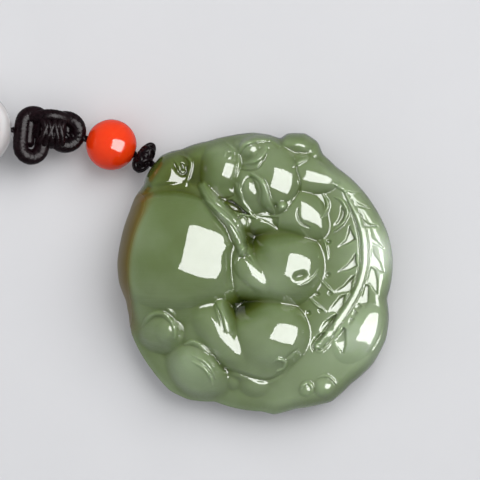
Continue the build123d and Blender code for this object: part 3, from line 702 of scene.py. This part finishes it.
def sweep_strand(points, radius, sides, closed=False, ridges=None):
    """Points and faces of a strand round a line. The ridges are a formula of the length along
    it and the turn round it that gives a share of the radius."""
    line = np.asarray(points, float)
    ahead = np.roll(line, -1, 0) - np.roll(line, 1, 0)
    if not closed:
        ahead[0], ahead[-1] = line[1] - line[0], line[-1] - line[-2]
    ahead /= np.linalg.norm(ahead, axis=1, keepdims=True)
    side = np.cross(ahead[0], (0.0, 0.3, 1.0))
    sideways = []
    for direction in ahead:
        side = side - direction * side.dot(direction)
        side /= np.linalg.norm(side)
        sideways.append(side)
    sideways = np.array(sideways)
    lift = np.cross(ahead, sideways)
    length = run_along(line)
    twist = np.zeros(len(line))
    if closed:
        last = sideways[-1] - ahead[0] * sideways[-1].dot(ahead[0])
        wrong = math.atan2(last.dot(lift[0]), last.dot(sideways[0]))
        twist = -wrong * length / length[-1]
    turn = whole_turn(sides)
    theta = turn[None, :] + twist[:, None]
    reach = radius * (ridges(length[:, None], turn[None, :]) if ridges else np.ones(theta.shape))
    rings = (line[:, None, :] + (reach * np.cos(theta))[..., None] * sideways[:, None, :]
             + (reach * np.sin(theta))[..., None] * lift[:, None, :])
    faces = band_faces(len(line), sides, closed)
    body = rings.reshape(-1, 3)
    if not closed:
        for ring, outward in ((0, -1), (len(line) - 1, 1)):
            end = line[ring]
            onward = outward * ahead[ring] * radius
            collar = end + onward * collar_height + (rings[ring] - end) * collar_breadth
            start = len(body)
            body = np.vstack([body, collar, end + onward * tip_height])
            for j in range(sides):
                k = (j + 1) % sides
                edge = (ring * sides + j, ring * sides + k, start + k, start + j)
                tip = (start + j, start + k, start + sides)
                faces.append(edge if outward > 0 else edge[::-1])
                faces.append(tip if outward > 0 else tip[::-1])
    return body, faces


def joined(parts):
    """Several sets of points and faces as one."""
    points, faces, start = [], [], 0
    for part_points, part_faces in parts:
        points.append(part_points)
        faces += [tuple(index + start for index in face) for face in part_faces]
        start += len(part_points)
    return np.vstack(points), faces


def even_line(points, gap):
    """A line of points, resampled at even gaps."""
    line = np.asarray(points, float)
    reach = run_along(line)
    places = np.linspace(0, reach[-1], max(2, round(reach[-1] / gap)))
    return np.column_stack([np.interp(places, reach, line[:, axis]) for axis in range(3)])


def twisted_plies(points, plies):
    """Plies that wind round a line, as one set of points and faces."""
    line = even_line(points, ply_step)
    ahead = np.gradient(line, axis=0)
    ahead /= np.linalg.norm(ahead, axis=1, keepdims=True)
    side = np.cross(ahead, (0.1, 0.2, 1.0))
    side /= np.linalg.norm(side, axis=1, keepdims=True)
    lift = np.cross(ahead, side)
    length = np.arange(len(line)) * ply_step
    strands = []
    for ply in range(plies):
        angle = 2 * math.pi * (length / ply_pitch + ply / plies)
        offset = (thread_radius - ply_radius) * (np.cos(angle)[:, None] * side
                                                 + np.sin(angle)[:, None] * lift)
        strands.append(sweep_strand(line + offset, ply_radius, 8))
    return joined(strands)


def cord_finish(name, color, grain, sheen):
    """Black cord: dark fibres with a soft satin sheen and a fine grain along and across."""
    material, place = start_finish(name)
    fibre = place.noise(grain, 3.0)
    wear = place.noise(grain / 6, 2.0)
    shade = (fibre * 0.6 + wear * 0.4).step(0.3, 0.75)
    body = shade.mix(tuple(0.5 * part for part in color), tuple(2.0 * part for part in color))
    end_finish(place, {
        "Base Color": body, "Roughness": 0.22 + shade * 0.2, "IOR": 1.2, "Sheen Weight": sheen,
        "Sheen Roughness": 0.4, "Sheen Tint": (0.75, 0.5, 0.58, 1),
    }, fibre, 0.00005)
    return material


knot_middle, knot_along, *_, knot_length = string_frame("small_knot")
hole_heading = math.radians(146)
hole_pitch, hole_depth, rim_gap = 2.4 * MM, 4.2 * MM, 0.34 * MM
leg_bend, bend_spread = 0.36 * knot_length, 0.8
into_rim = -Vector((math.cos(hole_heading), math.sin(hole_heading), 0))
knot_face = knot_middle - knot_along * knot_length / 2
deep_end = knot_face + into_rim * (rim_gap + hole_depth)
leg_paths = [[knot_middle, knot_middle + into_rim * leg_bend + rise * bend_spread, deep_end + rise]
             for rise in (Vector((0, 0, hole_pitch / 2)), Vector((0, 0, -hole_pitch / 2)))]
core_path = [knot_middle] + [string_frame(row[0])[0] for row in string_table[1:]]
thread_paths = leg_paths + [core_path]
thread = mesh_piece("doubled_thread", *joined([twisted_plies(path, 2) for path in thread_paths]),
                    cord_finish("waxed_thread", (0.005, 0.002, 0.003), 4200, 0.01))
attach(thread, "root")
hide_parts("hanging_thread")

# Small knot
# The two thread ends tied round themselves against the rim: a small rough ball of thread,
# flattened along the string, whose turns pass over and under each other.
small_knot_radius = 2.5 * MM
knot_strand_radius = 0.36 * MM
knot_leads = 4
knot_swing, knot_weave = 1.25, 0.45


def woven_ball(grow, bights):
    """A closed strand that weaves round a rounded ball, over and under itself."""
    radius = small_knot_radius * grow
    turn = knot_leads * whole_turn(260 * knot_leads)
    latitude = knot_swing * np.sin(turn * bights / knot_leads)
    over = np.cos(turn * bights * 2 / knot_leads + turn)
    weave = 1 + knot_weave * knot_strand_radius / radius * over
    out = (radius - knot_strand_radius) * np.cos(latitude) * weave
    run = (knot_length / 2 * grow - knot_strand_radius) * np.sin(latitude) * weave
    line = np.column_stack([run, out * np.cos(turn), out * np.sin(turn)])
    return sweep_strand(on_string("small_knot", line), knot_strand_radius, 8, closed=True)


small_knot = mesh_piece("small_thread_knot", *joined([woven_ball(1.0, 7), woven_ball(0.86, 5)]),
                        cord_finish("knotted_thread", (0.005, 0.002, 0.003), 3600, 0.01))
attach(small_knot, "root")
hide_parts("small_knot")

# Red bead
# A round polished bead of orange-red agate, slightly see-through, drilled for the thread
# with a small bevel at each mouth.
bore_radius = 0.65 * MM
bore_bevel = 0.25 * MM
bead_sides = 96


def turned_bead(name, node, finish):
    """A drilled round bead, turned about the string."""
    radius = string_frame(node)[-1] / 2
    mouth = math.asin((bore_radius + bore_bevel) / radius)
    sweep = np.linspace(mouth, math.pi - mouth, 64)
    edge = radius * math.cos(mouth) - bore_bevel
    run = np.concatenate([-radius * np.cos(sweep), np.linspace(edge, -edge, 12)])
    out = np.concatenate([radius * np.sin(sweep), np.full(12, bore_radius)])
    turn = whole_turn(bead_sides)
    points = np.column_stack([np.repeat(run, bead_sides), np.outer(out, np.cos(turn)).ravel(),
                              np.outer(out, np.sin(turn)).ravel()])
    faces = [(a, d, c, b) for a, b, c, d in band_faces(len(run), bead_sides, True)]
    return mesh_piece(name, on_string(node, points), faces, finish)


def agate_finish():
    """Orange-red agate, made paler towards its top by painted light and deeper below by painted
    shade, with faint clouds.
    """
    material, place = start_finish("red_agate")
    height = place.node("SeparateXYZ", {}, {0: place}, 2)
    cloud = place.noise(300, 3.0)
    # Painted shade low on the bead and painted light towards its top, by height above the table
    shade = height.step(0.0, 0.007) * 0.75 + cloud * 0.25
    body = shade.mix((0.60, 0.012, 0.002), (0.86, 0.050, 0.004))
    end_stone(place, body, 0.06 + cloud * 0.03, 1.46, 0.35, (1.0, 0.25, 0.08), 0.0015, cloud, 0.00001)
    return material


red_bead = turned_bead("red_agate_bead", "red_bead", agate_finish())
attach(red_bead, "root")
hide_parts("red_bead")

# Loop knot
# Thick satin cord tied as two loops, a tall one beside the white bead and a rounder one
# beside the red bead, bound in the middle by its own crossing turns.
cord_radius = 1.1 * MM
left_bend, left_height, left_droop = 1.6 * MM, 8.4 * MM, 1.0 * MM
right_height = 6.0 * MM
ring_lift = 0.25 * MM
wrap_radius, low_strand_radius = 0.42 * MM, 0.88 * MM
satin_bump, satin_pitch, satin_ribs = 0.035, 0.62 * MM, 5


def satin_ridges(length, turn):
    """Fine slanting ribs of a tightly braided sheath."""
    wind, ribs = 2 * math.pi / satin_pitch * length, satin_ribs * turn
    return 1 + satin_bump * np.maximum(np.cos(ribs + wind), np.cos(ribs - wind))


def on_knot(points):
    """Places in the loop knot, given along the string, down the picture and up."""
    return on_string("loop_knot", np.multiply(points, (1, -1, 1)))


def rounded_ring(middle_along, half_straight, bend, droop):
    """A ring of cord with straight sides across the string, its quarters lifted and lowered
    in turn, and its whole shifted down the picture by the droop."""
    turn = whole_turn(160)
    shift = half_straight * np.tanh(4 * np.sin(turn)) + droop
    path = [(middle_along + bend * math.cos(angle), bend * math.sin(angle) + step,
             ring_lift * math.sin(2 * angle)) for angle, step in zip(turn, shift)]
    line = even_line(on_knot(path + path[:1]), 0.15 * MM)[:-1]
    return sweep_strand(line, cord_radius, 20, closed=True, ridges=satin_ridges)


loop_length = string_frame("loop_knot")[-1]
left_middle = loop_length / 2 - cord_radius - left_bend
right_bend = right_height / 2 - cord_radius
right_middle = right_bend + cord_radius - loop_length / 2
left_straight = left_height / 2 - cord_radius - left_bend
loop_parts = [
    rounded_ring(left_middle, left_straight, left_bend, left_droop),
    rounded_ring(right_middle, 0.0, right_bend, 0.0),
]
wrap_table = [
    # start along, end along, half width across, half height, lean, in millimetres
    (-1.9, -0.9, 2.1, 1.7, 0.15), (-1.4, 0.0, 2.2, 1.8, 0.15), (-0.7, 0.8, 2.3, 1.9, 0.12),
    (0.2, 1.5, 2.2, 1.8, 0.12), (1.7, 0.4, 2.1, 1.75, -0.12), (1.1, -0.4, 2.25, 1.9, -0.12),
    (0.3, -1.2, 2.3, 1.95, -0.15), (-0.5, -1.8, 2.15, 1.8, -0.15),
]
wrap_turn = whole_turn(90)
for start, end, breadth, height, lean in wrap_table:
    run = (start + end + (end - start) * np.sin(wrap_turn)) / 2 + lean * np.cos(wrap_turn)
    wrap = np.column_stack([run, breadth * np.sin(wrap_turn), height * np.cos(wrap_turn)]) * MM
    loop_parts.append(sweep_strand(on_knot(wrap), wrap_radius, 12, closed=True))
filling_table = [
    # radius, start and end, each along, down the picture and up, in millimetres
    (0.95, (3.0, -2.3, -0.3), (3.0, 2.3, -0.3)),
    (0.8, (-2.5, -1.4, -0.5), (-2.3, 1.6, -0.5)),
    (1.5, (-1.6, 0.0, -0.2), (1.8, 0.0, -0.2)),
]
for fill_radius, start, end in filling_table:
    fill = even_line(on_knot(np.array([start, end]) * MM), 0.3 * MM)
    loop_parts.append(sweep_strand(fill, fill_radius * MM, 16))
low_strand = smooth_line([
    (3.0, -1.6, 0.1), (1.6, -1.9, 0.9), (0.2, -2.1, 1.3), (-1.2, -2.0, 0.9), (-2.6, -1.7, 0.1),
])
loop_parts.append(sweep_strand(on_knot(low_strand * MM), low_strand_radius, 16, ridges=satin_ridges))
satin_black = cord_finish("satin_cord", (0.006, 0.002, 0.003), 2600, 0.02)
loop_knot = mesh_piece("satin_loop_knot", *joined(loop_parts), satin_black)
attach(loop_knot, "root")
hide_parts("loop_knot")

# White bead
# A larger round bead of milky white stone with faint grey bands, polished and drilled like
# the red one, and threaded between the loop knot and the neck cord.


def white_finish():
    """Milky stone with faint grey wavy bands."""
    material, place = start_finish("milky_stone")
    bands = place.node("TexWave", {"wave_type": "BANDS", "bands_direction": "Z"},
                       {"Vector": place, "Scale": 130.0, "Distortion": 4.0, "Detail": 2.0})
    cloud = place.noise(200, 3.0)
    body = (bands * 0.4 + cloud * 0.6).step(0.2, 0.9).mix((0.66, 0.63, 0.62), (0.78, 0.77, 0.77))
    end_stone(place, body, 0.10 + cloud * 0.05, 1.54, 0.3, (1.0, 0.9, 0.8), 0.002, cloud, 0.00001)
    return material


white_bead = turned_bead("white_stone_bead", "white_bead", white_finish())
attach(white_bead, "root")
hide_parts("white_bead")

# Junction knot
# The two ends of the neck cord meet the thread in a barrel of thin cord, wound round them in
# close turns with a round shoulder at each end.
junction_radius = 2.9 * MM
winding_radius = 0.5 * MM
winding_turns = 7
core_radius, core_share = 2.3 * MM, 0.94
shoulder_start, shoulder_fall = 0.55, 1.6
junction_middle, junction_along, *_, junction_length = string_frame("junction_knot")


def shoulder(run):
    """Share of the barrel's radius at a distance from its middle."""
    beyond = np.clip(np.abs(run) / (junction_length / 2) - shoulder_start, 0, None)
    return 1 - beyond ** 2 * shoulder_fall


def barrel_winding():
    """The cord wound round from end to end, and the closed core inside it."""
    part = np.linspace(0, 1, 90 * winding_turns)
    run = (part - 0.5) * (junction_length - 2 * winding_radius)
    out = (junction_radius - winding_radius) * shoulder(run)
    angle = 2 * math.pi * winding_turns * part
    coil = np.column_stack([run, out * np.cos(angle), out * np.sin(angle)])
    core_half = core_share * junction_length / 2
    core = np.column_stack([np.linspace(-core_half, core_half, 40), np.zeros(40), np.zeros(40)])

    def taper(length, turn):
        return shoulder(length - core_half) + 0 * turn

    return [sweep_strand(on_string("junction_knot", coil), winding_radius, 10),
            sweep_strand(on_string("junction_knot", core), core_radius, 24, ridges=taper)]


junction_knot = mesh_piece("wound_junction", *joined(barrel_winding()), satin_black)
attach(junction_knot, "root")
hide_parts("junction_knot")

# Neck cord
# Round braided cord of eight strands, one loop of about 600 mm that lies on the table and
# ends with both strands in the junction knot.
neck_radius = 1.1 * MM
cord_drop = -2.1
ring_gap = 0.45 * MM
braid_pitch, braid_strands, braid_relief = 3.4 * MM, 4, 0.07
neck_route = [
    # x and y from the junction knot's end, in millimetres, and share of the drop to the table
    (2.0, 1.25, 0), (-7, 2.45, 0.55), (-18, 7, 1), (-39, 26, 1), (-69, 52, 1), (-107, 71, 1),
    (-149, 78, 1), (-189, 69, 1), (-220, 42, 1), (-233, 4, 1), (-223, -36, 1), (-195, -65, 1),
    (-155, -79, 1), (-113, -77, 1), (-75, -60, 1), (-43, -34, 1), (-20, -10, 1),
    (-7.5, -2.75, 0.55), (2.0, -1.25, 0),
]


def route_line(points):
    """The smooth line of a cord's route, read from its spline."""
    curve = bpy.data.curves.new("route", "CURVE")
    curve.dimensions = "3D"
    spline = curve.splines.new("NURBS")
    spline.points.add(len(points) - 1)
    for spot, point in zip(spline.points, points):
        spot.co = (*point, 1)
    spline.order_u = 3
    spline.use_endpoint_u = True
    spline.resolution_u = 24
    carrier = bpy.data.objects.new("route", curve)
    bpy.context.scene.collection.objects.link(carrier)
    shape = bpy.data.meshes.new_from_object(carrier)
    line = [tuple(vertex.co) for vertex in shape.vertices]
    bpy.data.objects.remove(carrier)
    bpy.data.curves.remove(curve)
    bpy.data.meshes.remove(shape)
    return line


def braid_ridges(length, turn):
    """Lozenges of an eight-strand braid, four strands each way."""
    wind = 2 * math.pi / braid_pitch * length
    over = np.maximum(np.cos(braid_strands * (turn + wind)), np.cos(braid_strands * (turn - wind)))
    return 1 - braid_relief + braid_relief * over


junction_end = junction_middle + junction_along * junction_length / 2
neck_points = [junction_end + Vector((x, y, drop * cord_drop)) * MM for x, y, drop in neck_route]
neck_line = even_line(route_line(neck_points), ring_gap)
neck_cord = mesh_piece(
    "braided_neck_cord", *sweep_strand(neck_line, neck_radius, 24, ridges=braid_ridges),
    cord_finish("braided_cord", (0.006, 0.002, 0.003), 3000, 0.02))
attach(neck_cord, "root")
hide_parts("neck_cord")

# Table, light and camera
# A pale matt table in soft daylight from above, with one bright window to the upper right
# that the polished stone mirrors, seen from straight above.
table_half = 0.6
table_finish, table_place = start_finish("pale_table")
paper = table_place.noise(60, 4.0)
end_finish(table_place, {"Base Color": paper.mix((0.60, 0.60, 0.612), (0.63, 0.63, 0.64)),
                         "Roughness": 0.8, "Specular IOR Level": 0.2}, paper, 0.00002)
table_corners = [(x * table_half, y * table_half, 0) for x, y in ((-1, -1), (1, -1), (1, 1), (-1, 1))]
table = mesh_piece("table_top", table_corners, [(0, 1, 2, 3)], table_finish)
table.visible_glossy = False

world = bpy.data.worlds.new("soft_room")
world.use_nodes = True
sky = world.node_tree.nodes["Background"].inputs
sky["Color"].default_value = (0.93, 0.95, 1.0, 1)
sky["Strength"].default_value = 0.34
bpy.context.scene.world = world
bpy.context.scene.view_settings.view_transform = "Standard"

target = Vector((-2.14, 5.0, 6.0)) * MM


def area_light(name, direction, distance, width, height, power, lean=0.0):
    """A flat light at a distance from the pendant, facing it, turned about its own axis."""
    light = bpy.data.lights.new(name, "AREA")
    light.shape = "RECTANGLE"
    light.size, light.size_y = width, height
    light.energy = power
    lamp = bpy.data.objects.new(name, light)
    lamp.location = target + Vector(direction).normalized() * distance
    lamp.rotation_euler = (target - lamp.location).to_track_quat("-Z", "Y").to_euler()
    lamp.rotation_euler.rotate_axis("Z", math.radians(lean))
    bpy.context.scene.collection.objects.link(lamp)
    return lamp


window = area_light("window", (0.545, -0.05, 0.84), 1.2, 1.12, 1.30, 66, -12)
window.visible_diffuse = False
daylight = area_light("daylight", (0.45, 0.55, 1.0), 0.8, 0.7, 0.7, 5.6)
daylight.visible_glossy = False
bounce = area_light("bounce", (-0.6, -0.1, 1.0), 0.9, 1.0, 1.0, 3.1)
bounce.visible_glossy = False

view_distance = 0.5
photo_side, pixels_per_mm = 480, 7.0
view_width = photo_side / pixels_per_mm * MM
camera_data = bpy.data.cameras.new("camera")
camera_data.sensor_width = 36.0
camera_data.lens = camera_data.sensor_width * view_distance / view_width
camera_data.clip_start = 0.01
camera = bpy.data.objects.new("camera", camera_data)
camera.location = target + Vector((0, 0, view_distance))
bpy.context.scene.collection.objects.link(camera)
bpy.context.scene.camera = camera
